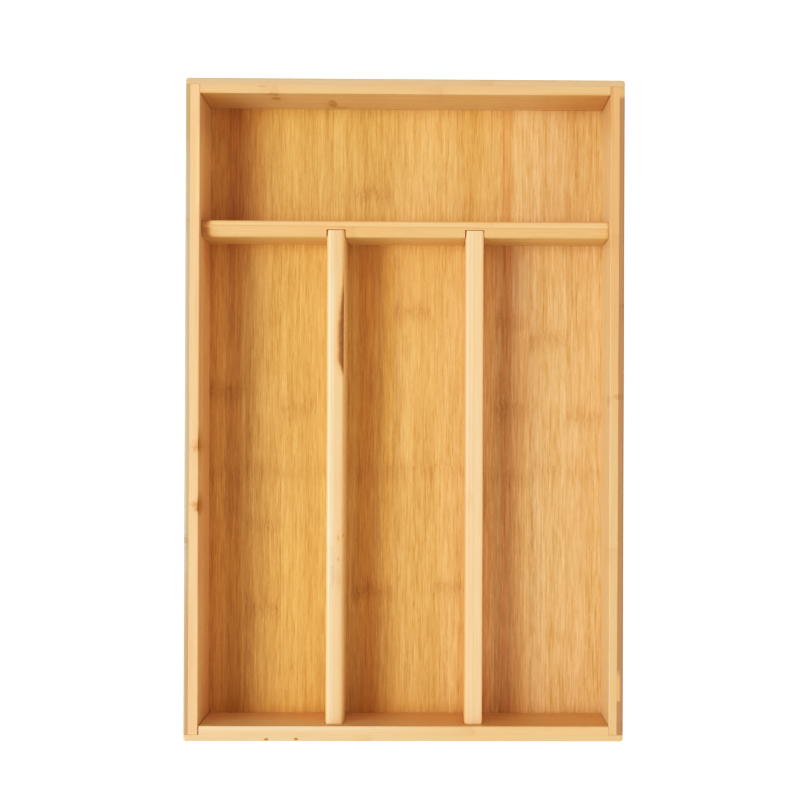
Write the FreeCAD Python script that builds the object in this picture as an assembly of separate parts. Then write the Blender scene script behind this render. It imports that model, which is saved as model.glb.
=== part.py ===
"""Bamboo cutlery tray with four compartments: one across the back and three long ones in front of it.

Millimetres. +X right, +Y to the back, +Z up. The origin is the middle of the tray's footprint, on the surface it
stands on. Two end boards run the full width and carry a rabbet at each end; the two side boards sit in those rabbets.
The floor panel floats in a groove round all four boards. The dividers stand on the floor panel. Their ends butt
against the walls and carry a stub tenon each, let into a blind mortise; the back ends of the long dividers are let
into open notches in the cross divider.
"""
import FreeCAD, Part
import os

V = FreeCAD.Vector

# ------------------------------------------------------------------ driving dimensions (mm)
TRAY_W = 252.0            # overall, left to right
TRAY_L = 380.0            # overall, front to back
TRAY_H = 50.0             # overall height

SIDE_T = 8.4              # thickness of the left and right boards
END_T = 9.0               # thickness of the front and back boards
LIP_T = 4.0               # thickness of the lip that covers a side board's end

BASE_T = 5.0              # floor panel thickness
BASE_Z = 4.0              # underside of the floor panel above the bottom edge
BASE_TONGUE = 4.0         # how far the floor panel reaches into each board
GROOVE_D = 4.2            # depth of the floor panel's groove
GROOVE_PLAY = 0.1         # room above the panel in the groove

CROSS_T = 9.5             # thickness of the cross divider
CROSS_Y = 104.4           # its middle plane, from the tray's centre
LONG_T = 10.5             # thickness of the two long dividers
LONG_X = 40.0             # their middle planes, left and right of the tray's centre
DIVIDER_DROP = 6.0        # divider tops lie this far below the rim

TENON_L = 2.8             # reach of the stub tenons on the divider ends
TENON_SIDE = 2.0          # shoulder on each face of a tenon
TENON_DROP = 9.0          # top of a tenon below the divider's top
MORTISE_D = 3.0           # depth of the blind mortises in the walls
MORTISE_PLAY = 0.1        # room round a tenon in its mortise
BUTT_GAP = 0.1            # room between a divider's shoulder and the wall
NOTCH_D = 4.4             # depth of the open notches in the cross divider
NOTCH_PLAY = 0.25         # room on each side of a long divider in its notch
NOTCH_END_PLAY = 0.35     # room beyond its end there

RIM_OUTER_R = 1.2         # eased outer rim edge
RIM_INNER_R = 0.7         # eased inner rim edge
CORNER_R = 1.8            # rounded upright outer corners
LONG_R = 2.3              # rounded long top edges of the long dividers
CRISP_R = 0.8             # right-hand top edge of the right divider, which is only eased
CROSS_FRONT_R = 2.8       # rounded front top edge of the cross divider
CROSS_BACK_R = 1.4        # and its back top edge
END_R = 1.3               # eased upright edges at the front ends of the long dividers
CROSS_END_R = 0.3         # and at the ends of the cross divider
SEAM_EASE = 0.25          # small chamfer where two boards meet at a visible seam
LOOSE_SEAM = 0.5          # the front left corner's joint stands open by this much, as seen from above
FOOT_EASE = 0.6           # small chamfer on the outer bottom edges

BRAD_D = 1.3              # steel brads at the corners
BRAD_HEAD_D = 2.0
BRAD_HEAD_T = 0.8
BRAD_L = 20.0
BRAD_SET = 0.5            # heads are set this far below the surface
BRAD_PLAY = 0.02          # the hole is this much larger in radius
BRAD_Z = (18.0, 38.0)     # two brads at each corner

# ------------------------------------------------------------------ derived
HX, HY = TRAY_W / 2, TRAY_L / 2
IX, IY = HX - SIDE_T, HY - END_T            # inner faces of the walls
LIP_Y = HY - LIP_T                          # inner face of the lips, where the side boards end
FLOOR_Z = BASE_Z + BASE_T                   # top of the floor panel
DIV_Z = TRAY_H - DIVIDER_DROP               # top of the dividers
CROSS_F = CROSS_Y - CROSS_T / 2             # front face of the cross divider
CROSS_B = CROSS_Y + CROSS_T / 2             # back face of the cross divider
BRAD_Y = (IY + LIP_Y) / 2                   # middle of the seat of a side board in its rabbet

EPS = 1e-4


def box(x0, x1, y0, y1, z0, z1):
    return Part.makeBox(x1 - x0, y1 - y0, z1 - z0, V(x0, y0, z0))


def same(a, b):
    return abs(a - b) < EPS


def edges(shape, test):
    """Edges with every end point, and the middle, passing the test."""
    out = []
    for e in shape.Edges:
        mid = e.valueAt((e.FirstParameter + e.LastParameter) / 2)
        if all(test(p) for p in [v.Point for v in e.Vertexes] + [mid]):
            out.append(e)
    return out


def rounded(shape, r, *tests):
    picked = [e for t in tests for e in edges(shape, t)]
    return shape.makeFillet(r, picked)


def chamfered(shape, c, *tests):
    picked = [e for t in tests for e in edges(shape, t)]
    return shape.makeChamfer(c, picked)


def brad(sx, sy, z, play=0.0):
    """One headed brad along X, driven inwards from a side board's outer face. With play it is the hole's shape."""
    outer = HX if play else HX - BRAD_SET
    head = Part.makeCylinder(BRAD_HEAD_D / 2 + play, outer - (HX - BRAD_SET - BRAD_HEAD_T),
                             V(HX - BRAD_SET - BRAD_HEAD_T, 0, 0), V(1, 0, 0))
    tip = HX - BRAD_SET - BRAD_L
    shank = Part.makeCylinder(BRAD_D / 2 + play, BRAD_L - 1.5 - BRAD_HEAD_T,
                              V(tip + 1.5, 0, 0), V(1, 0, 0))
    point = Part.makeCone(0.25 + play, BRAD_D / 2 + play, 1.5, V(tip, 0, 0), V(1, 0, 0))
    b = head.fuse([shank, point]).removeSplitter()
    if sx < 0:
        b.rotate(V(0, 0, 0), V(0, 0, 1), 180)
    b.translate(V(0, sy * BRAD_Y, z))
    return b


BRAD_SPOTS = [(sx, sy, z) for sx in (-1, 1) for sy in (-1, 1) for z in BRAD_Z]


# ------------------------------------------------------------------ end boards (front and back)
def end_board(loose=0.0):
    """The front board; the back board is this one turned half round. loose: how far its left rabbet is cut too wide."""
    b = box(-HX, HX, -HY, -IY, 0, TRAY_H)
    for s in (-1, 1):                                       # rabbets for the side boards
        x0, x1 = sorted((s * (IX - (loose if s < 0 else 0.0)), s * (HX + 1)))
        b = b.cut(box(x0, x1, -LIP_Y, -IY + 1, -1, TRAY_H + 1))
    b = rounded(b, CORNER_R, lambda p: same(abs(p.x), HX) and same(p.y, -HY))
    b = rounded(b, RIM_OUTER_R,
                lambda p: same(p.z, TRAY_H) and p.y < -LIP_Y + EPS and
                (p.y < -HY + CORNER_R + EPS or abs(p.x) > HX - CORNER_R - EPS) and not same(p.y, -LIP_Y) or
                same(p.z, TRAY_H) and same(abs(p.x), HX))
    b = rounded(b, RIM_INNER_R, lambda p: same(p.y, -IY) and same(p.z, TRAY_H))
    b = chamfered(b, SEAM_EASE, lambda p: same(p.y, -LIP_Y) and abs(p.x) > IX + EPS and p.z > 1 and
                  (p.z > TRAY_H - RIM_OUTER_R - EPS or same(abs(p.x), HX)),
                  lambda p: same(p.y, -LIP_Y) and same(p.z, TRAY_H))
    b = chamfered(b, FOOT_EASE, lambda p: same(p.z, 0) and p.y < -LIP_Y - 1)
    return b


def end_cuts(b, sy, mortises):
    """The floor groove and any blind mortises, cut in an end board's inner face."""
    y0, y1 = sorted((sy * (IY + GROOVE_D), sy * (IY - 1)))
    b = b.cut(box(-IX - 1, IX + 1, y0, y1, BASE_Z, FLOOR_Z + GROOVE_PLAY))
    for x in mortises:
        y0, y1 = sorted((sy * (IY + MORTISE_D), sy * (IY - 1)))
        w = LONG_T / 2 - TENON_SIDE + MORTISE_PLAY
        b = b.cut(box(x - w, x + w, y0, y1, BASE_Z + 1, DIV_Z - TENON_DROP + MORTISE_PLAY))
    return b


front = end_board(LOOSE_SEAM)
back = end_board()
back.rotate(V(0, 0, 0), V(0, 0, 1), 180)
front = end_cuts(front, -1, (-LONG_X, LONG_X))
back = end_cuts(back, 1, ())


# ------------------------------------------------------------------ side boards
def side_board():
    """The right board; the left board is this one mirrored."""
    b = box(IX, HX, -LIP_Y, LIP_Y, 0, TRAY_H)
    b = rounded(b, RIM_OUTER_R, lambda p: same(p.x, HX) and same(p.z, TRAY_H))
    b = rounded(b, RIM_INNER_R, lambda p: same(p.x, IX) and same(p.z, TRAY_H))
    b = chamfered(b, SEAM_EASE,
                  lambda p: same(abs(p.y), LIP_Y) and p.z > TRAY_H - RIM_OUTER_R - EPS and p.x > IX + EPS,
                  lambda p: same(abs(p.y), LIP_Y) and same(p.x, HX) and p.z > -EPS)
    b = chamfered(b, FOOT_EASE, lambda p: same(p.z, 0) and same(p.x, HX))
    b = b.cut(box(IX - 1, IX + GROOVE_D, -HY, HY, BASE_Z, FLOOR_Z + GROOVE_PLAY))
    w = CROSS_T / 2 - TENON_SIDE + MORTISE_PLAY
    b = b.cut(box(IX - 1, IX + MORTISE_D, CROSS_Y - w, CROSS_Y + w, BASE_Z + 1, DIV_Z - TENON_DROP + MORTISE_PLAY))
    return b


right = side_board()
left = right.mirror(V(0, 0, 0), V(1, 0, 0))

# ------------------------------------------------------------------ floor panel
base = box(-IX - BASE_TONGUE, IX + BASE_TONGUE, -IY - BASE_TONGUE, IY + BASE_TONGUE, BASE_Z, FLOOR_Z)

# ------------------------------------------------------------------ dividers
def bar(x0, x1, y0, y1, along, r_low, r_high):
    """A bar from the floor panel to the dividers' height, along "x" or "y". Its long top edges are rounded by r_low, on the
    side of the lower coordinate, and r_high."""
    b = box(x0, x1, y0, y1, FLOOR_Z, DIV_Z)
    if along == "x":
        b = rounded(b, r_low, lambda p: same(p.z, DIV_Z) and same(p.y, y0))
        return rounded(b, r_high, lambda p: same(p.z, DIV_Z) and same(p.y, y1))
    b = rounded(b, r_low, lambda p: same(p.z, DIV_Z) and same(p.x, x0))
    return rounded(b, r_high, lambda p: same(p.z, DIV_Z) and same(p.x, x1))


def eased(r, x0, x1, y0, y1, *corners):
    """An upright block with the named plan corners rounded by r."""
    b = box(x0, x1, y0, y1, 0, TRAY_H)
    return rounded(b, r, lambda p: any(same(p.x, cx) and same(p.y, cy) for cx, cy in corners))


end_x = IX - BUTT_GAP
cross = bar(-end_x, end_x, CROSS_F, CROSS_B, "x", CROSS_FRONT_R, CROSS_BACK_R)
cross = cross.common(eased(CROSS_END_R, -end_x, end_x, CROSS_F, CROSS_B,
                           (-end_x, CROSS_F), (end_x, CROSS_F), (-end_x, CROSS_B), (end_x, CROSS_B)))
for x in (-LONG_X, LONG_X):                                 # open notches for the long dividers
    w = LONG_T / 2 + NOTCH_PLAY
    cross = cross.cut(box(x - w, x + w, CROSS_F - 1, CROSS_F + NOTCH_D, FLOOR_Z - 1, DIV_Z + 1))
for s in (-1, 1):                                           # stub tenons into the side boards
    x0, x1 = sorted((s * (end_x - 2), s * (IX + TENON_L)))
    cross = cross.fuse(box(x0, x1, CROSS_F + TENON_SIDE, CROSS_B - TENON_SIDE, FLOOR_Z, DIV_Z - TENON_DROP))
cross = cross.removeSplitter()


def long_divider(x, r_right):
    y0 = -IY + BUTT_GAP
    y1 = CROSS_F + NOTCH_D - NOTCH_END_PLAY
    x0, x1 = x - LONG_T / 2, x + LONG_T / 2
    d = bar(x0, x1, y0, y1, "y", LONG_R, r_right).common(eased(END_R, x0, x1, y0, y1, (x0, y0), (x1, y0)))
    d = d.fuse(box(x0 + TENON_SIDE, x1 - TENON_SIDE, -IY - TENON_L, y0 + 2, FLOOR_Z, DIV_Z - TENON_DROP))
    return d.removeSplitter()


left_long = long_divider(-LONG_X, LONG_R)
right_long = long_divider(LONG_X, CRISP_R)

# ------------------------------------------------------------------ brads and their holes
brads = Part.makeCompound([brad(*s) for s in BRAD_SPOTS])
for s in BRAD_SPOTS:
    hole = brad(*s, play=BRAD_PLAY)
    if s[0] < 0:
        left = left.cut(hole)
    else:
        right = right.cut(hole)
    if s[1] < 0:
        front = front.cut(hole)
    else:
        back = back.cut(hole)

# ------------------------------------------------------------------ write one file for each piece
PIECES = {
    "front_wall": front,
    "back_wall": back,
    "left_wall": left,
    "right_wall": right,
    "base_panel": base,
    "cross_divider": cross,
    "left_long_divider": left_long,
    "right_long_divider": right_long,
    "corner_brads": brads,
}

os.makedirs("parts", exist_ok=True)
for name, shape in PIECES.items():
    if not shape.isValid():
        raise SystemExit(name + " is not a valid shape")
    want = len(BRAD_SPOTS) if name == "corner_brads" else 1
    if len(shape.Solids) != want:
        raise SystemExit("%s has %d solids" % (name, len(shape.Solids)))
    shape.exportStep("parts/%s.step" % name)
    bb = shape.BoundBox
    print("%-20s x %8.2f %8.2f  y %8.2f %8.2f  z %6.2f %6.2f  volume %9.1f mm3" % (
        name, bb.XMin, bb.XMax, bb.YMin, bb.YMax, bb.ZMin, bb.ZMax, shape.Volume))

names = list(PIECES)
for i, a in enumerate(names):
    for b in names[i + 1:]:
        shared = PIECES[a].common(PIECES[b]).Volume
        if shared > 1e-6:
            print("overlap", a, b, round(shared, 6), "mm3")
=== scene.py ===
import math
import bpy
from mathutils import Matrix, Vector

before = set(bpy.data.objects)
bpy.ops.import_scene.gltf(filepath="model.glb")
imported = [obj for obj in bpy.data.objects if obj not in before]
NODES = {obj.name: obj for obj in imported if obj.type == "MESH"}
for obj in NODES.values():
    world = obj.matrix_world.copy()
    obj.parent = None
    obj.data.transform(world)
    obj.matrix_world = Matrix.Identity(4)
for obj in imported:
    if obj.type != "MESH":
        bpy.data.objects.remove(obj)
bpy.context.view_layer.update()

# Places on the tray, in mm, as the boards are cut.
HX, HY, RIM = 126.0, 190.0, 50.0          # half width, half length, height
SIDE_T, END_T, LIP_T = 8.4, 9.0, 4.0      # side boards, end boards, lip at the corners
FLOOR_Z, DIV_Z = 9.0, 44.0                # top of the floor panel, top of the dividers
CROSS_Y, CROSS_T = 104.4, 9.5
LONG_X, LONG_T = 40.0, 10.5


def lin(r, g, b):
    """A screen colour, 0 to 255, as linear light."""
    f = lambda c: c / 12.92 if c <= 0.04045 else ((c + 0.055) / 1.055) ** 2.4
    return tuple(f(c / 255.0) for c in (r, g, b)) + (1.0,)


# ---------------------------------------------------------------------------------------------- node formulas
class S:
    """A socket that takes part in arithmetic, so that a pattern reads as a formula."""

    def __init__(self, g, sock):
        self.g, self.sock = g, sock

    def __add__(self, o): return self.g.m("ADD", self, o)
    def __radd__(self, o): return self.g.m("ADD", o, self)
    def __sub__(self, o): return self.g.m("SUBTRACT", self, o)
    def __rsub__(self, o): return self.g.m("SUBTRACT", o, self)
    def __mul__(self, o): return self.g.m("MULTIPLY", self, o)
    def __rmul__(self, o): return self.g.m("MULTIPLY", o, self)
    def __truediv__(self, o): return self.g.m("DIVIDE", self, o)
    def __neg__(self): return self.g.m("MULTIPLY", self, -1.0)


class Graph:
    def __init__(self, tree):
        self.t = tree

    def new(self, kind):
        return self.t.nodes.new(kind)

    def put(self, sock, v):
        if isinstance(v, S):
            self.t.links.new(v.sock, sock)
        elif v is not None:
            sock.default_value = v

    def m(self, op, a, b=None, c=None, clamp=False):
        n = self.new("ShaderNodeMath")
        n.operation, n.use_clamp = op, clamp
        for i, v in enumerate((a, b, c)):
            self.put(n.inputs[i], v)
        return S(self, n.outputs[0])

    def xyz(self, x, y, z):
        n = self.new("ShaderNodeCombineXYZ")
        for i, v in enumerate((x, y, z)):
            self.put(n.inputs[i], v)
        return S(self, n.outputs[0])

    def split(self, v):
        n = self.new("ShaderNodeSeparateXYZ")
        self.put(n.inputs[0], v)
        return [S(self, o) for o in n.outputs]

    def noise(self, x, y, z, detail=2.0, rough=0.5, lac=2.0):
        n = self.new("ShaderNodeTexNoise")
        n.noise_dimensions = "3D"
        self.put(n.inputs["Vector"], self.xyz(x, y, z))
        n.inputs["Scale"].default_value = 1.0
        n.inputs["Detail"].default_value = detail
        n.inputs["Roughness"].default_value = rough
        n.inputs["Lacunarity"].default_value = lac
        return S(self, n.outputs[0])

    def cells(self, x, y, z, rand=1.0):
        """Distance to the nearest of scattered points."""
        n = self.new("ShaderNodeTexVoronoi")
        n.voronoi_dimensions, n.feature = "3D", "F1"
        self.put(n.inputs["Vector"], self.xyz(x, y, z))
        n.inputs["Scale"].default_value = 1.0
        n.inputs["Randomness"].default_value = rand
        return S(self, n.outputs["Distance"])

    def rand(self, a, b=0.0):
        """One random number for each pair of whole numbers."""
        n = self.new("ShaderNodeTexWhiteNoise")
        n.noise_dimensions = "2D"
        self.put(n.inputs["Vector"], self.xyz(a, b, 0.0))
        return S(self, n.outputs["Value"])

    def step(self, lo, hi, v):
        """0 below lo, 1 above hi, smooth between; lo may be above hi."""
        n = self.new("ShaderNodeMapRange")
        n.interpolation_type, n.clamp = "SMOOTHSTEP", True
        self.put(n.inputs["Value"], v)
        flip = not isinstance(lo, S) and not isinstance(hi, S) and lo > hi
        a, b = (hi, lo) if flip else (lo, hi)
        self.put(n.inputs["From Min"], a)
        self.put(n.inputs["From Max"], b)
        n.inputs["To Min"].default_value = 1.0 if flip else 0.0
        n.inputs["To Max"].default_value = 0.0 if flip else 1.0
        return S(self, n.outputs["Result"])

    def mix(self, f, a, b, mode="MIX"):
        n = self.new("ShaderNodeMix")
        n.data_type, n.blend_type, n.clamp_factor = "RGBA", mode, True
        ins = [i for i in n.inputs if i.enabled]
        self.put(ins[0], f)
        self.put(ins[1], a)
        self.put(ins[2], b)
        return S(self, [o for o in n.outputs if o.enabled][0])

    def pick(self, index, values, top):
        """The value for a whole-number index, from a short table; values lie between 0 and top."""
        n = self.new("ShaderNodeValToRGB")
        n.color_ramp.interpolation = "CONSTANT"
        k = len(values)
        e = n.color_ramp.elements
        while len(e) < k:
            e.new(1.0)
        for i, v in enumerate(values):
            e[i].position = i / k
            e[i].color = (v / top, v / top, v / top, 1.0)
        self.put(n.inputs[0], (index + 0.5) / float(k))
        s = self.new("ShaderNodeSeparateColor")
        self.t.links.new(n.outputs[0], s.inputs[0])
        return S(self, s.outputs[0]) * top

    def where(self):
        """Object position in mm: x, y, z."""
        n = self.new("ShaderNodeTexCoord")
        x, y, z = self.split(S(self, n.outputs["Object"]))
        return x * 1000.0, y * 1000.0, z * 1000.0

    def normal(self):
        n = self.new("ShaderNodeTexCoord")
        return self.split(S(self, n.outputs["Normal"]))

    def bell(self, d, w):
        """1 at d = 0, falling to about a third at w."""
        q = d * (1.0 / w)
        return self.m("EXPONENT", q * q * -1.0)

    def biggest(self, *v):
        out = v[0]
        for o in v[1:]:
            out = self.m("MAXIMUM", out, o)
        return out


def start(name):
    mat = bpy.data.materials.new(name)
    mat.use_nodes = True
    t = mat.node_tree
    t.nodes.clear()
    out = t.nodes.new("ShaderNodeOutputMaterial")
    p = t.nodes.new("ShaderNodeBsdfPrincipled")
    t.links.new(p.outputs[0], out.inputs[0])
    return mat, Graph(t), p


def close(g, p, color, rough, height, coat=0.12):
    """Colour, roughness and surface relief (height in mm) into the shader."""
    g.put(p.inputs["Base Color"], color)
    g.put(p.inputs["Roughness"], rough)
    p.inputs["IOR"].default_value = 1.48
    p.inputs["Coat Weight"].default_value = coat
    p.inputs["Coat Roughness"].default_value = 0.28
    b = g.new("ShaderNodeBump")
    b.inputs["Strength"].default_value = 1.0
    b.inputs["Distance"].default_value = 0.001
    g.put(b.inputs["Height"], height)
    g.t.links.new(b.outputs[0], p.inputs["Normal"])


# ---------------------------------------------------------------------------------------------- bamboo
# How far red, green and blue follow the grain: a dark fibre is also a redder one.
FOLLOW = (0.74, 1.0, 1.85)
DEEP = tuple(max(0.02, 1.0 - 0.7 * f) for f in FOLLOW) + (1.0,)       # full strength of a dark mark, as a multiplier


def shade(base, k):
    """A colour made darker (k < 0) or lighter along the grain's own line of colour."""
    return tuple(max(0.0, c * (1.0 + k * f)) for c, f in zip(base, FOLLOW)) + (1.0,)


def fibres(g, a, l, t, seed, anew, lengths=1.0):
    """Fibres along l, seen in a and t alike (mm). anew: changes where the fibres start anew, at a ring. Returns signals
    about zero: fine streaks, short streaks, long lines, broad bands; and from 0 to 1: thin dark bundles, thin pale ones
    and short dark flecks."""
    q = 1.0 / lengths
    steady, seed = seed, seed + anew
    fine = g.noise(a * 0.95, l * (0.026 * q), t * 0.95 + seed, 2.0, 0.8) - 0.5
    short = g.noise(a * 0.70 + 7.3, l * (0.085 * q), t * 0.70 + seed, 3.0, 0.85) - 0.5
    long = g.noise(a * 0.13 + 9.2, l * (0.0025 * q), t * 0.13 + steady, 1.0, 0.6) - 0.5
    broad = g.noise(a * 0.11 + 3.1, l * (0.007 * q), t * 0.11 + steady, 1.0, 0.6) - 0.5
    bundle = g.step(0.61, 0.72, g.noise(a * 1.4 + 5.0, l * (0.022 * q), t * 1.4 + seed, 1.0, 0.4))
    pale = g.step(0.60, 0.70, g.noise(a * 1.2 + 8.0, l * (0.018 * q), t * 1.2 + seed + 40.0, 1.0, 0.4))
    fleck = g.step(0.66, 0.80, g.noise(a * 1.9 + 1.7, l * 0.17, t * 1.9 + seed, 1.0, 0.5))
    return fine, short, long, broad, bundle, pale, fleck


def dashes(g, a, l, width, length, seed):
    """Straight single fibres side by side, each cut into lengths of its own tone; about zero."""
    u = a * (1.0 / width)
    i = g.m("FLOOR", u)
    fu = u - i
    own = i + seed * 61.0
    v = l * (1.0 / length) / (0.55 + g.rand(own, 1.5) * 1.1) + g.rand(own, 2.5) * 50.0
    j = g.m("FLOOR", v)
    fv = v - j
    tone = g.rand(own, j + 11.5) - 0.5
    return tone * g.step(0.0, 0.30, fu) * g.step(1.0, 0.70, fu) * g.step(0.0, 0.18, fv) * g.step(1.0, 0.82, fv)


def rings(g, a, l, strip, rows, seed):
    """Growth rings of the cane. rows: (place along l in each strip, strength, whether the fibres start anew there).
    Returns the zone about a ring, the dark band on one side of it, its edge, and how many such starts lie below."""
    jag = (g.noise(a * 0.75, strip * 3.7, seed, 2.0, 0.6) - 0.5) * 5.0 + (g.noise(a * 0.13, strip * 2.3, seed + 9.0, 1.0) - 0.5) * 7.0
    zone = band = edge = count = None
    for places, power, cut in rows:
        d = l - places + jag
        z = g.bell(d + 1.5, 6.6) * power
        b = g.step(-14.0, -2.0, d) * g.step(3.6, -2.4, d) * power
        e = g.bell(d, 0.9) * power
        n = g.m("GREATER_THAN", d, 0.0) if cut else None
        zone = z if zone is None else g.m("MAXIMUM", zone, z)
        band = b if band is None else g.m("MAXIMUM", band, b)
        edge = e if edge is None else g.m("MAXIMUM", edge, e)
        if cut:
            count = n if count is None else count + n
    return zone, band, edge, count


NONE = -900.0


def base_material():
    """Floor panel: flat strips about 21 mm wide, grain front to back."""
    mat, g, p = start("bamboo_base")
    x, y, z = g.where()
    edges = [-96.2, -74.6, -53.6, -32.4, -7.6, 14.8, 33.4, 53.4, 73.8, 96.3]
    xe = x + (g.noise(y * 0.02, 0.0, 2.0, 1.0) - 0.5) * 0.8
    strip = None
    for e in edges:
        s = g.m("GREATER_THAN", xe, e)
        strip = s if strip is None else strip + s
    # growth rings: a faint row in line across all strips, and others where a strip has one of its own
    tab = lambda v: g.pick(strip, [q + 1000.0 for q in v], 2000.0) - 1000.0
    row_a = tab([-35, -34, -35.5, -33.5, -34.5, -34, -33, -35, -36, -34, -35])
    row_b = tab([15, -117, 4, NONE, 133, 62, -104, NONE, 4, 45, -1])
    row_c = tab([NONE, -67, NONE, NONE, NONE, NONE, NONE, NONE, 56, NONE, NONE])
    row_d = tab([14, NONE, NONE, NONE, -106, NONE, NONE, NONE, NONE, NONE, NONE])
    zone, band, edge, count = rings(g, x, y, strip, [(row_a, 0.50, True), (row_b, 1.0, False), (row_c, 0.8, False), (row_d, 1.12, False)], 3.0)

    r1, r2, r3 = g.rand(strip, 1.0), g.rand(strip, 2.0), g.rand(strip, 3.0)
    bend = (g.noise(x * 0.30, y * 0.16, strip * 9.0, 2.0) - 0.5) * 4.0 * zone
    wave = (g.noise(x * 0.03, y * 0.008, strip * 4.0, 1.0) - 0.5) * 0.8
    a = x + bend + wave
    l = y + r1 * 400.0
    anew = count * g.m("GREATER_THAN", g.rand(strip, 5.0), 0.55) * 3.7
    fine, short, long, broad, bundle, pale, fleck = fibres(g, a, l, z, strip * 11.0, anew)
    mix_r = g.noise(x * 0.05, y * 0.008, strip * 6.0, 1.0)       # some stretches have long fibres, others short ones
    tone = fine * (FLOOR_FINE * (0.45 + mix_r)) + short * (FLOOR_SHORT * (1.45 - mix_r)) + long * FLOOR_LONG + broad * FLOOR_BROAD
    for width, length, k, n in FLOOR_DASHES:
        tone = tone + dashes(g, a, l + anew * 3.0, width, length, strip * 5.0 + n) * k
    tone = tone + pale * 0.07
    tone = tone + (r2 - 0.5) * 0.08
    # the strips grow paler and less golden towards the right
    at = x + (r3 - 0.5) * 30.0 - g.step(60.0, 150.0, y) * 16.0
    to_mid, to_right = g.step(-30.0, 6.0, at), g.step(16.0, 70.0, at)
    three = lambda k: g.mix(to_right, g.mix(to_mid, shade(BASE_L, k), shade(BASE_M, k)), shade(BASE_R, k))
    col = g.mix(g.m("ADD", tone * 1.25, 0.5, clamp=True), three(-0.40), three(0.40))
    speck = g.noise(a * 0.95, y * 0.19, strip * 5.0, 2.0, 0.6)
    mott = g.step(0.50, 0.74, speck) * zone
    lite = g.step(0.46, 0.30, speck) * zone
    streaky = 0.55 + g.step(0.35, 0.65, g.noise(a * 0.7, y * 0.05, strip * 8.0, 1.0)) * 0.6
    joint = None
    for e in edges:
        b = g.bell(xe - e, 0.25)
        joint = b if joint is None else joint + b
    hook = g.step(0.52, 0.62, g.noise(a * 0.5, strip * 3.1, 4.0, 1.0)) * edge
    darkening = bundle * 0.11 + fleck * (0.09 + zone * 0.10) + mott * 0.12 + zone * 0.085 + band * streaky * 0.065 + hook * 0.055 + joint * 0.06
    col = g.mix(darkening * (1.0 / 0.7), col, DEEP, "MULTIPLY")
    col = g.mix(lite * 0.14, col, shade(BASE_M, 0.30))
    # tones of single strips, some of them painted shade and painted light along the shadows' edges: from, to across and
    # how soft either side is; from, to along; colour against the rest
    for x0, x1, w0, w1, y0, y1, k in STRIP_TONES_AND_PAINTED_LIGHT:
        inside = g.step(x0 - w0, x0 + w0, xe) * g.step(x1 + w1, x1 - w1, xe) * g.step(y0 - 14.0, y0 + 14.0, y) * g.step(y1 + 14.0, y1 - 14.0, y)
        col = g.mix(inside, col, tuple(k) + (1.0,), "MULTIPLY")
    rough = 0.43 - tone * 0.10 + mott * 0.06
    height = tone * 0.030 - bundle * 0.012 - edge * 0.02 - joint * 0.03 - mott * 0.012
    close(g, p, col, rough, height)
    return mat


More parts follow.
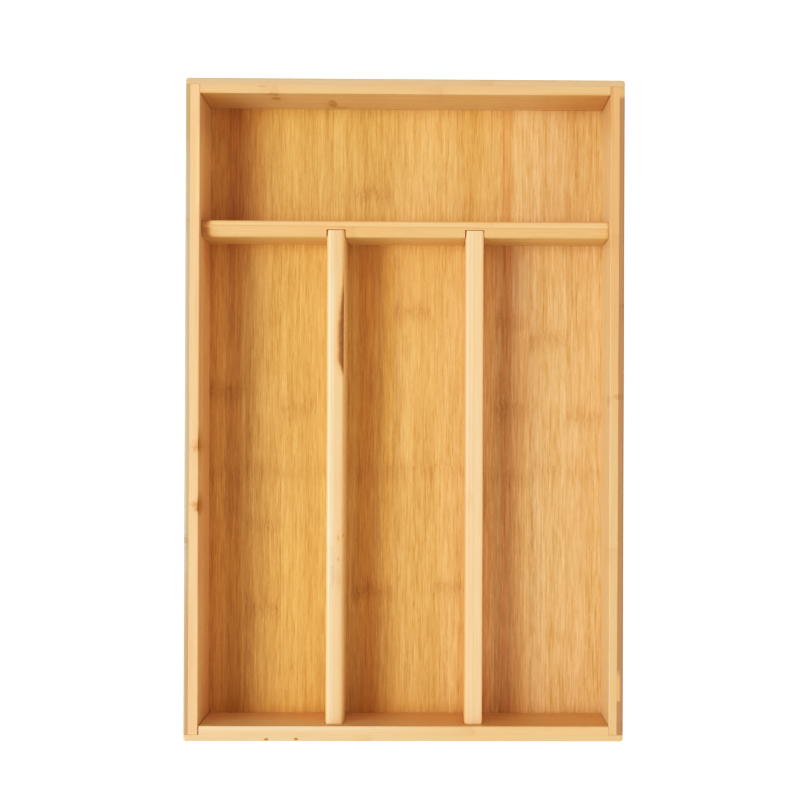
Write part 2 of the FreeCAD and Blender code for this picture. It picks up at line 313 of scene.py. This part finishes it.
def board_material(name, axis, seed, base, outer, ply_at, ply_mul, marks, amp=0.5, slant=0.0, spots=(), extra=None, split=27.0,
                   face=(1.0, 1.10, 1.0), glue_k=0.06, glue_w=0.20, corner=None, corner_w=1.0):
    """A laminated board. axis: the direction of its grain, "x" or "y". outer: the place of its outer face across the
    thickness; ply_at: how far in from there the outer layer ends, changing by slant per mm along the grain; ply_mul: that
    layer's colour against the rest. marks: places of the growth rings along the grain, for each of the four strips.
    spots: small dark marks (along, across, height, half sizes, strength). face: colour of the upright faces against the
    top edge, where the strips are cut across their other side. glue_k, glue_w: how dark and wide the glue line shows.
    corner: where the next board meets this one's face, with a dark line of old glue in the corner, corner_w times as wide."""
    mat, g, p = start(name)
    x, y, z = g.where()
    l, t = (x, y) if axis == "x" else (y, x)
    nx, ny, nz = g.normal()
    end = g.step(0.75, 0.92, g.m("ABSOLUTE", nx if axis == "x" else ny))     # sawn ends
    flat = g.step(0.45, 0.90, g.m("ABSOLUTE", ny if axis == "x" else nx))    # upright long faces
    depth = g.m("ABSOLUTE", t - outer) - l * slant
    wavy = (g.noise(l * 0.02, z * 0.02, seed, 2.0) - 0.5) * 0.7
    ply = g.m("GREATER_THAN", depth + wavy, ply_at)
    seam = z + (g.noise(l * 0.012, 0.0, seed + 2.0, 1.0) - 0.5) * 0.8 - split
    layer = g.m("GREATER_THAN", seam, 0.0)
    strip = ply * 2.0 + layer
    rows = [(g.pick(strip, [m[i] + 1000.0 for m in marks], 2000.0) - 1000.0, 1.0, True) for i in range(len(marks[0]))]
    zone, band, edge, count = rings(g, z + t * 1.3, l, strip, rows, seed)
    zone, band, edge = [v * 0.7 for v in (zone, band, edge)]
    r1, r2 = g.rand(strip, seed), g.rand(strip, seed + 1.0)
    bend = (g.noise(z * 0.3, l * 0.12, t * 0.3 + seed, 2.0) - 0.5) * 2.6 * zone
    wave = (g.noise(l * 0.010, z * 0.03, t * 0.03 + seed, 1.0) - 0.5) * 2.6
    fine, short, long, broad, bundle, pale, fleck = fibres(g, z + bend + wave, l + r1 * 300.0, t + wave * 0.4, strip * 13.0 + seed, count * 3.7, 1.3)
    tone = (fine * BOARD_FINE + short * BOARD_SHORT + long * BOARD_LONG + broad * BOARD_BROAD + pale * 0.05) * (amp * (1.0 + flat * 0.8)) + (r2 - 0.5) * 0.05
    col = g.mix(g.m("ADD", tone * 1.25, 0.5, clamp=True), shade(base, -0.40), shade(base, 0.40))
    speck = g.noise(z * 0.8 + t * 0.8, l * 0.40, t * 0.8 + seed, 2.0, 0.6)
    mott = g.step(0.52, 0.68, speck) * zone
    darkening = bundle * (0.12 * amp) + fleck * (0.09 * amp + zone * 0.06) + mott * 0.11 + band * 0.07 + edge * 0.08
    thread = 0.42 + g.step(0.36, 0.62, g.noise(z * 0.75 + 3.0, l * 0.10, t * 0.75 + seed + 30.0, 2.0, 0.6)) * 1.05      # a mark follows the fibres
    # some spots are painted shade, such as the two on the front wall's inner face above the long dividers' ends
    for sl, st, sz, hl, ht, hz, k in spots:
        wob = (g.noise(l * 0.45, z * 0.6, t * 0.6 + seed, 2.0, 0.6) - 0.5) * 2.0
        q = None
        for c, s, h in ((l, sl, hl), (t, st, ht), (z, sz, hz)):
            if h is None:
                continue
            e = (c - s) * (1.0 / h)
            e = e * e
            q = e if q is None else q + e
        darkening = darkening + g.step(1.25, 0.15, q + wob) * thread * k
    glue = g.bell(depth + wavy - ply_at, glue_w)
    glue2 = g.bell(seam, 0.20)
    pores = g.step(0.60, 0.70, g.noise(z * 2.2, l * 0.3, t * 2.2 + seed, 1.0, 0.4))
    smudge = g.step(0.60, 0.76, g.noise(l * 0.085, z * 0.16 + t * 0.30, t * 0.30 + seed + 60.0, 3.0, 0.65))
    darkening = darkening + glue * glue_k + glue2 * 0.05 + end * (0.16 + pores * 0.22) + smudge * 0.045
    if corner:
        off = g.m("ABSOLUTE", g.m("ABSOLUTE", l) - corner)
        thick = 0.35 + g.noise(z * 0.12, l * 0.01, seed, 2.0) * 0.7 + g.step(34.0, 50.0, z) * 0.25
        darkening = darkening + g.step(thick * corner_w, thick * (0.3 * corner_w), off) * flat * ply * 0.34
    col = g.mix(1.0 - ply, col, tuple(ply_mul) + (1.0,), "MULTIPLY")
    col = g.mix(flat * ply, col, tuple(face) + (1.0,), "MULTIPLY")
    col = g.mix(flat * (1.0 - ply), col, (1.04, 1.01, 0.88, 1.0), "MULTIPLY")
    hue = g.step(0.30, 0.70, g.noise(z * 0.20, l * 0.016, t * 0.20 + seed + 4.0, 2.0, 0.6))
    col = g.mix(1.0, col, g.mix(hue, (1.025, 0.985, 0.955, 1.0), (0.985, 1.012, 1.03, 1.0)), "MULTIPLY")
    if extra:
        col = extra(g, col, l, t, z, depth)
    col = g.mix(darkening * (1.0 / 0.7), col, DEEP, "MULTIPLY")
    rough = 0.42 - tone * 0.10 + mott * 0.06 + end * 0.18
    height = tone * 0.030 - bundle * 0.010 - edge * 0.02 - glue * 0.03 - end * pores * 0.04
    close(g, p, col, rough, height)
    return mat


def steel_material():
    mat, g, p = start("brad_steel")
    x, y, z = g.where()
    n = g.noise(x * 2.0, y * 2.0, z * 2.0, 3.0, 0.6)
    col = g.mix(g.step(0.45, 0.75, n), lin(176, 172, 166), lin(120, 104, 88))
    g.put(p.inputs["Base Color"], col)
    p.inputs["Metallic"].default_value = 1.0
    g.put(p.inputs["Roughness"], 0.32 + n * 0.25)
    b = g.new("ShaderNodeBump")
    b.inputs["Distance"].default_value = 0.001
    g.put(b.inputs["Height"], g.noise(x * 6.0, y * 6.0, z * 6.0, 2.0) * 0.02)
    g.t.links.new(b.outputs[0], p.inputs["Normal"])
    return mat


def dress(node, mat):
    ob = NODES[node]
    ob.data.materials.clear()
    ob.data.materials.append(mat)


# ---------------------------------------------------------------------------------------------- the boards' own looks
FLOOR_FINE, FLOOR_SHORT, FLOOR_LONG, FLOOR_BROAD = 0.36, 0.52, 0.38, 0.34
FLOOR_DASHES = [(0.58, 12.0, 0.26, 1.0), (1.05, 20.0, 0.24, 2.0), (2.1, 42.0, 0.12, 3.0)]      # width, length, strength
BOARD_FINE, BOARD_SHORT, BOARD_LONG, BOARD_BROAD = 0.42, 0.32, 0.22, 0.24
BASE_L, BASE_M, BASE_R = (0.612, 0.335, 0.093), (0.668, 0.365, 0.116), (0.678, 0.398, 0.178)
STRIP_TONES_AND_PAINTED_LIGHT = [
    (-107.0, -98.3, 2.5, 0.9, -220.0, 220.0, (0.86, 0.75, 0.60)),     # painted shade: the leftmost strip darker to its right, where the left wall's shadow falls
    (-112.0, -85.0, 3.0, 4.0, 106.0, 220.0, (0.96, 0.86, 0.77)),       # painted shade, most of all at the back, in the left wall's shadow
    (-29.0, -17.5, 2.5, 5.0, -220.0, 96.0, (1.0, 0.89, 0.60)),       # painted shade: left of the middle a strip darker and redder in the left divider's shadow, and painted light on its pale half where that shadow ends
    (-15.0, -7.6, 4.0, 1.0, -110.0, 96.0, (1.09, 1.07, 0.90)),
    (38.0, 53.4, 1.0, 1.0, -220.0, 96.0, (1.15, 1.14, 1.10)),          # a pale strip under the right divider
    (57.2, 63.2, 1.5, 1.2, -220.0, 220.0, (0.93, 0.82, 0.70)),        # painted shade: next to it a strip darker in the right divider's shadow, and painted light on its pale half where that shadow ends
    (63.6, 73.8, 1.2, 1.0, -220.0, 60.0, (1.06, 0.99, 0.91)),
    (96.3, 107.0, 1.0, 3.0, -220.0, 220.0, (0.95, 0.92, 0.87)),        # more gold at the right
    (96.3, 130.0, 1.0, 1.0, 105.0, 220.0, (0.965, 0.97, 0.91)),
    (-53.6, 33.4, 1.0, 1.0, 106.0, 220.0, (1.01, 1.03, 1.11)),         # paler in the middle of the back
    (-130.0, -107.0, 1.0, 3.0, -220.0, 96.0, (1.0, 0.94, 0.91)),
    (-130.0, -53.6, 1.0, 1.0, -220.0, -70.0, (0.99, 0.96, 0.88)),
    (-130.0, -111.0, 1.0, 2.0, 106.0, 220.0, (1.06, 1.03, 1.06)),
    (-36.0, -29.4, 1.0, 2.0, -220.0, 96.0, (1.10, 1.13, 1.13)),        # painted light: a pale edge along the left divider, where light bounces off it onto the floor
    (-28.0, 17.0, 4.0, 4.0, 46.0, 96.0, (0.965, 0.92, 0.87)),         # the middle is redder at its back end and more gold in front
    (-24.0, -5.0, 4.0, 3.0, -220.0, -100.0, (0.975, 0.93, 0.77)),
    # painted light: the left wall's shadow made lighter at its right edge in front
    (-108.0, -98.0, 2.5, 1.0, -220.0, -70.0, (1.07, 1.12, 1.03)),
    # painted light: paler at the front where the right divider's shadow ends
    (64.0, 75.0, 1.2, 1.5, -220.0, -20.0, (1.05, 1.08, 1.08)),
    (2.0, 33.4, 3.0, 1.0, -220.0, 96.0, (0.965, 0.978, 0.965)),
]


def right_band(g, col, l, t, z, depth):
    """Two paler places in the right wall's outer layer, near its ends; painted shade along its rounded inner top edge.
    """
    inside = g.step(4.2, 3.4, depth)
    w = l + (g.noise(l * 0.3, t * 0.8, 5.0, 1.0) - 0.5) * 3.0
    col = g.mix(g.step(118.7, 118.1, t) * g.step(48.4, 49.2, z), col, (0.965, 0.905, 0.85, 1.0), "MULTIPLY")      # painted shade dimming the highlight on the rounded inner top edge
    rim = g.step(48.2, 49.4, z) * g.step(2.2, 3.8, depth)
    tint = g.mix(g.step(-40.0, 70.0, l), (0.985, 1.055, 1.16, 1.0), (0.965, 0.925, 0.925, 1.0))
    col = g.mix(rim, col, tint, "MULTIPLY")
    col = g.mix(g.step(148.0, 172.0, l) * g.step(6.0, 8.2, depth), col, (0.89, 0.82, 0.76, 1.0), "MULTIPLY")
    k = g.step(178.6, 181.2, w) + g.step(-148.0, -154.0, w) * g.step(-167.2, -165.6, w) * g.step(1.0, 2.4, depth)
    return g.mix(k * inside * 0.80, col, (0.70, 0.41, 0.175, 1.0))


def front_tones(g, col, l, t, z, depth):
    """The front wall: paler to the left, above all in the upper part of its inner face; painted shade in a dark line
    under the rim and along the rim's inner edge.
    """
    left = g.step(60.0, -60.0, l)
    tint = g.mix(left, (0.98, 0.962, 0.93, 1.0), (0.995, 1.012, 1.075, 1.0))
    upper = g.step(20.0, 44.0, z) * g.step(5.0, 8.4, depth) * left
    tint = g.mix(upper, tint, (1.02, 1.20, 1.42, 1.0), "MULTIPLY")
    under = g.step(46.9, 48.3, z) * g.step(49.6, 49.0, z) * g.step(8.4, 8.8, depth) * (0.4 + left * 0.6)
    tint = g.mix(under, tint, (0.84, 0.78, 0.68, 1.0), "MULTIPLY")           # painted shade: a dark line under the rim
    # painted shade dimming the highlight on the rim's rounded inner edge
    rim = g.step(7.2, 8.4, depth) * g.step(49.0, 49.6, z)
    tint = g.mix(rim, tint, (0.975, 0.945, 0.90, 1.0), "MULTIPLY")
    return g.mix(1.0, col, tint, "MULTIPLY")


def back_tones(g, col, l, t, z, depth):
    """The back wall's inner face: painted light makes its lower strip paler, as if lit from the floor; painted shade
    darkens its left end, where the left wall's shadow falls.
    """
    # painted light: the lower strip paler, where the lit floor throws light up
    low = g.step(34.0, 12.0, z + (g.noise(l * 0.02, 0.0, 6.0, 1.0) - 0.5) * 8.0) * g.step(6.0, 8.6, depth)
    col = g.mix(low, col, (1.04, 1.11, 1.22, 1.0), "MULTIPLY")
    inner = g.step(7.6, 8.8, depth)
    col = g.mix(inner * g.step(45.0, 112.0, l), col, (0.88, 0.75, 0.58, 1.0), "MULTIPLY")
    # painted shade: the left end, in the left wall's shadow
    return g.mix(inner * g.step(-84.0, -112.0, l), col, (0.93, 0.85, 0.68, 1.0), "MULTIPLY")


def cross_ends_painted_light(g, col, l, t, z, depth):
    """Painted shadow of the left wall across the cross divider's left end, with a painted highlight along a streak
    through it and a softer painted half-shade beyond; darker also at its right end, where it meets the right wall.
    """
    w = l + (g.noise(t * 0.45, z * 0.22, 2.0, 2.0, 0.6) - 0.5) * 3.4
    high = 0.16 + g.step(36.0, 43.6, z) * 0.84
    soft = w + (t - CROSS_Y) * 0.5
    streak = g.bell(t - 105.9 + (g.noise(l * 0.2, 0.0, 7.0, 1.0) - 0.5), 0.75) * g.step(42.0, 43.6, z)
    # painted half-shade at the soft edge of the left wall's shadow
    col = g.mix(g.step(-107.2, -113.4, soft) * high, col, (0.94, 0.87, 0.80, 1.0), "MULTIPLY")
    # painted shadow of the left wall
    col = g.mix(g.step(-110.9, -114.2, w) * high, col, (0.68, 0.57, 0.41, 1.0), "MULTIPLY")
    # painted highlight: a streak lit through that shadow
    col = g.mix(g.step(-111.0, -113.0, l) * g.step(-117.2, -115.6, l) * streak, col, (1.55, 1.65, 1.75, 1.0), "MULTIPLY")
    # darker at the right end, in the corner with the right wall
    return g.mix(g.step(115.4, 117.4, w) * high, col, (0.80, 0.74, 0.66, 1.0), "MULTIPLY")


def left_tones(g, col, l, t, z, depth):
    """The left wall: painted shade low on its inner face next to the cross divider."""
    # painted shade low in the corner by the cross divider
    low = g.step(36.0, 20.0, z) * g.step(58.0, 92.0, l) * g.step(104.0, 99.0, l) * g.step(5.0, 8.2, depth)
    col = g.mix(low, col, (0.90, 0.80, 0.70, 1.0), "MULTIPLY")
    behind = g.step(109.0, 120.0, l) * g.step(166.0, 150.0, l) * g.step(5.0, 8.2, depth)
    col = g.mix(behind, col, (1.14, 1.17, 1.14, 1.0), "MULTIPLY")
    col = g.mix(g.step(0.5, 0.12, depth), col, (1.17, 1.02, 0.97, 1.0), "MULTIPLY")              # its outer face is warmer
    bark = g.step(3.2, 2.4, depth)
    front = g.step(-85.0, -125.0, l)
    col = g.mix(bark * front, col, (1.01, 0.82, 0.65, 1.0), "MULTIPLY")                          # browner at both ends
    col = g.mix(front * g.step(49.0, 49.6, z) * g.step(6.8, 4.6, depth) * (1.0 - bark), col, (0.93, 0.92, 0.92, 1.0), "MULTIPLY")
    col = g.mix(front * g.step(28.0, 44.0, z) * g.step(7.6, 8.3, depth), col, (1.05, 1.15, 1.20, 1.0), "MULTIPLY")
    return g.mix(bark * g.step(140.0, 165.0, l), col, (0.93, 0.86, 0.66, 1.0), "MULTIPLY")


def left_stain_and_painted_light(g, col, l, t, z, depth):
    """The left divider: painted highlight as a pale band left of its middle, where its rounded shoulder catches the
    light; warmer at its right edge, with a brown bark stain along that edge, and painted shade low on its right face.
    """
    # painted highlight: a pale band where the rounded left shoulder catches the light
    pale = g.step(-44.9, -43.7, t) * g.step(-39.6, -42.2, t)
    mid = g.step(88.0, 58.0, l) * g.step(-112.0, -84.0, l)
    col = g.mix(pale * (0.35 + mid * 0.65), col, (1.05, 1.14, 1.26, 1.0), "MULTIPLY")
    col = g.mix(g.step(-42.4, -40.4, t) * g.step(72.0, 92.0, l), col, (0.95, 0.925, 0.87, 1.0), "MULTIPLY")
    col = g.mix(g.step(-37.8, -35.8, t), col, (1.04, 1.0, 0.93, 1.0), "MULTIPLY")
    col = g.mix(g.step(-39.0, -37.4, t) * g.step(-50.0, -100.0, l), col, (0.945, 0.92, 0.89, 1.0), "MULTIPLY")
    off = (g.noise(l * 0.2, 0.0, 4.0, 1.0) - 0.5) * 1.2
    grey = g.bell(l + 95.6, 6.6) * (g.bell(t + 41.3 + off, 0.9) + g.bell(t + 39.4, 2.8) * 0.35) + g.bell(l + 98.6, 3.0) * g.bell(t + 37.4 + off, 0.9) * 0.6
    col = g.mix(grey * g.step(42.4, 43.4, z), col, (0.83, 0.85, 0.83, 1.0), "MULTIPLY")          # a short grey streak
    right = g.step(-35.2, -34.85, t)
    col = g.mix(right, col, (1.12, 1.20, 1.45, 1.0), "MULTIPLY")
    # painted shade: the right face darker towards its foot
    col = g.mix(right * g.step(30.0, 16.0, z), col, (0.80, 0.76, 0.66, 1.0), "MULTIPLY")
    u = l + (g.noise(l * 0.09, 0.0, 3.0, 2.0) - 0.5) * 7.0
    grow = g.step(92.0, 44.0, u) * g.step(14.0, 31.0, u)          # widens to the front, then closes
    reach = grow * 4.2 + (g.noise(l * 0.22, z * 0.2, 8.0, 2.0) - 0.5) * 1.3
    d = (t + 35.35) * -1.0                                        # in from the edge
    side = g.step(-0.2, 0.25, d + (g.noise(l * 0.4, 0.0, 1.0, 1.0) - 0.5) * 0.3)
    near = g.step(0.02, 0.25, grow) * side
    on = g.step(-0.3, 2.6, reach - d) * near
    halo = g.step(-3.0, 0.6, reach - d) * g.step(0.0, 0.2, grow) * side
    col = g.mix(halo, col, (0.97, 0.90, 0.76, 1.0), "MULTIPLY")
    deep = 0.84 + g.noise(l * 0.3, z * 0.8, t * 0.8, 2.0) * 0.3
    return g.mix(on * deep, col, (0.285, 0.105, 0.022, 1.0))


def right_tones(g, col, l, t, z, depth):
    """The right divider: its rounded left edge is warmer, with painted shade dimming its highlight and a painted
    highlight in a band just inside it; its right half a little duller.
    """
    # painted shade dimming the highlight on the rounded left edge
    col = g.mix(g.step(38.2, 36.2, t), col, (0.985, 0.885, 0.86, 1.0), "MULTIPLY")
    # painted highlight in a band just inside that edge
    col = g.mix(g.step(37.0, 38.4, t) * g.step(40.0, 39.2, t), col, (1.03, 1.05, 1.09, 1.0), "MULTIPLY")
    col = g.mix(g.step(43.2, 44.6, t), col, (1.01, 0.90, 0.85, 1.0), "MULTIPLY")
    col = g.mix(g.step(36.8, 35.8, t) * g.step(-40.0, -100.0, l), col, (1.0, 0.95, 0.87, 1.0), "MULTIPLY")
    return g.mix(g.step(35.3, 34.9, t), col, (0.88, 0.97, 1.12, 1.0), "MULTIPLY")


dress("base_panel", base_material())
dress("left_wall", board_material(
    "bamboo_left_wall", "y", 21.0, (0.79, 0.455, 0.232), -HX, 2.9, (0.56, 0.73, 0.86),
    [(-140, 130), (-74, 110), (-21, NONE), (-54, -21)], 0.50, face=(1.01, 1.14, 1.17), extra=left_tones,
    spots=[(-19.0, -117.6, 46.0, 8.4, 1.2, 15.0, 0.26), (-19.5, -117.6, 48.0, 4.2, 1.2, 9.0, 0.10),
           (-54.5, -117.6, 46.0, 8.0, 1.2, 15.0, 0.26), (-55.0, -117.6, 48.0, 4.0, 1.2, 10.0, 0.12),
           (-20.6, -118.6, 50.0, 4.4, 3.4, 2.6, 0.20), (-55.0, -118.4, 50.0, 4.2, 3.4, 2.6, 0.22), (-74.0, -125.0, 48.5, 3.0, 1.8, 6.0, 0.18)]))
dress("right_wall", board_material(
    "bamboo_right_wall", "y", 47.0, (0.715, 0.410, 0.182), HX, 3.45, (0.545, 0.505, 0.50),
    [(-110, 100), (-180, 60), (8, NONE), (-80, 100)], 0.40, slant=-0.0019, extra=right_band, face=(0.99, 1.21, 1.48),
    spots=[(8.0, 122.4, 50.0, 2.0, 3.4, 3.0, 0.20), (6.0, 117.6, 44.0, 4.6, 1.2, 9.0, 0.17)]))
dress("back_wall", board_material(
    "bamboo_back_wall", "x", 63.0, (0.680, 0.400, 0.186), HY, 4.0, (0.875, 1.0, 1.235),
    [(-100, 100), (50, NONE), (-42, NONE), (-74, 20)], 0.40, glue_k=0.03, face=(1.02, 1.175, 1.26), extra=back_tones, corner=HX - SIDE_T, corner_w=1.7,
    spots=[(-43.6, 181.0, 24.0, 3.0, 2.0, 9.5, 0.40), (-39.0, 181.0, 15.0, 5.0, 2.0, 4.5, 0.18),
           (-75.6, 181.0, 36.6, 3.2, 2.0, 4.0, 0.36), (-76.0, 181.0, 47.4, 4.4, 1.2, 3.4, 0.28),
           (-82.0, 184.8, 50.0, 3.4, 0.6, 2.0, 0.14), (109.0, 181.0, 40.0, 7.0, 2.0, 2.0, 0.20)]))
dress("front_wall", board_material(
    "bamboo_front_wall", "x", 85.0, (0.76, 0.465, 0.232), -HY, 4.0, (0.915, 0.96, 0.97),
    [(-80, 90), (-20, NONE), (-120, 110), (40, NONE)], 0.40, glue_k=0.03, face=(0.985, 0.975, 0.865), extra=front_tones, corner=HX - SIDE_T,
    spots=[(-78.6, -188.5, 49.5, 1.4, 1.0, 2.0, 0.66), (-61.3, -188.5, 49.5, 1.4, 1.0, 2.0, 1.0),
           # the last two are painted shade on the inner face under the rim, above the ends of the long dividers
           (-40.0, -181.0, 47.6, 5.4, 1.2, 1.9, 0.36), (40.0, -181.0, 47.8, 5.0, 1.2, 1.7, 0.22)]))
dress("cross_divider", board_material(
    "bamboo_cross_divider", "x", 101.0, (0.712, 0.402, 0.172), CROSS_Y + CROSS_T / 2, 3.5, (1.06, 1.10, 1.20),
    [(-90, NONE), (50, NONE), (-140, NONE), (-30, NONE)], 0.50, slant=0.0055, face=(0.98, 1.20, 1.24), extra=cross_ends_painted_light, glue_k=0.21, glue_w=0.28))
dress("left_long_divider", board_material(
    "bamboo_left_divider", "y", 123.0, (0.78, 0.485, 0.258), -LONG_X - LONG_T / 2, 4.6, (1.02, 1.03, 1.04),
    [(-160, NONE), (-80, NONE), (-110, NONE), (NONE, NONE)], 0.45, extra=left_stain_and_painted_light, glue_k=0.03,
    spots=[(-73.4, -38.1, 44.0, 2.6, 0.7, 3.0, 0.20), (-72.4, -35.5, 43.5, 1.0, 0.7, 3.0, 0.36),
           (-85.7, -38.1, 44.0, 1.5, 0.6, 3.0, 0.24), (-90.6, -41.6, 44.0, 0.7, 2.0, 3.0, 0.08)]))
dress("right_long_divider", board_material(
    "bamboo_right_divider", "y", 141.0, (0.79, 0.505, 0.272), LONG_X - LONG_T / 2, 5.1, (1.02, 0.99, 0.97),
    [(-130, NONE), (-50, NONE), (-90, NONE), (NONE, NONE)], 0.40, extra=right_tones, glue_k=0.085, glue_w=0.6))
dress("corner_brads", steel_material())

# ---------------------------------------------------------------------------------------------- floor, light, camera
me = bpy.data.meshes.new("studio_floor")
R = 4.0
me.from_pydata([(-R, -R, 0), (R, -R, 0), (R, R, 0), (-R, R, 0)], [], [(0, 1, 2, 3)])
floor = bpy.data.objects.new("studio_floor", me)
bpy.context.scene.collection.objects.link(floor)
fm, fg, fp = start("studio_floor")
fp.inputs["Base Color"].default_value = (0.35, 0.35, 0.35, 1.0)
fp.inputs["Roughness"].default_value = 0.9
fp.inputs["Specular IOR Level"].default_value = 0.1
fp.inputs["Emission Color"].default_value = (1.0, 1.0, 1.0, 1.0)
fp.inputs["Emission Strength"].default_value = 1.35
me.materials.append(fm)

scene = bpy.context.scene
world = bpy.data.worlds.new("studio")
scene.world = world
world.use_nodes = True
wg = Graph(world.node_tree)
sky = world.node_tree.nodes["Background"]
sky.inputs["Color"].default_value = (1.0, 0.95, 0.905, 1.0)
from_front = wg.split(S(wg, wg.new("ShaderNodeTexCoord").outputs["Generated"]))[1] * -0.35     # more light from the front
wg.put(sky.inputs["Strength"], (from_front + 1.0) * 0.79)

el, az, dist = math.radians(51.2), math.radians(0.0), 4.0
d = Vector((-math.cos(el) * math.cos(az), -math.cos(el) * math.sin(az), math.sin(el)))
key = bpy.data.lights.new("key", "AREA")
key.shape, key.size, key.size_y = "DISK", 1.56, 1.56
key.energy = 111.5
key.color = (1.0, 0.99, 0.98)
ko = bpy.data.objects.new("key", key)
scene.collection.objects.link(ko)
ko.location = d * dist
ko.rotation_euler = d.to_track_quat("Z", "Y").to_euler()

cam = bpy.data.cameras.new("camera")
cam.sensor_width, cam.sensor_fit = 36.0, "HORIZONTAL"
cam.lens = 65.91
cam.shift_x, cam.shift_y = -0.0696, 0.0368
cam.clip_start, cam.clip_end = 0.01, 50.0
co = bpy.data.objects.new("camera", cam)
scene.collection.objects.link(co)
co.location = (0.0185, -0.0133, 0.889)
co.rotation_euler = (math.radians(0.152), math.radians(-0.739), math.radians(0.207))
scene.camera = co

# A photograph's soft curve: a gentle toe and shoulder.
view = scene.view_settings
view.view_transform, view.look = "Standard", "None"
view.use_curve_mapping = True
cm = view.curve_mapping
cm.clip_max_x, cm.clip_max_y = 2.0, 1.0
tone = cm.curves[3]
tone.points[0].location, tone.points[1].location = (0.0, 0.0), (2.0, 1.0)
for q in ((0.05, 0.027), (0.12, 0.0865), (0.25, 0.232), (0.45, 0.463), (0.62, 0.632), (0.80, 0.78), (1.0, 0.90), (1.25, 0.97), (1.6, 1.0)):
    tone.points.new(*q)
cm.update()
scene.cycles.use_denoising = True
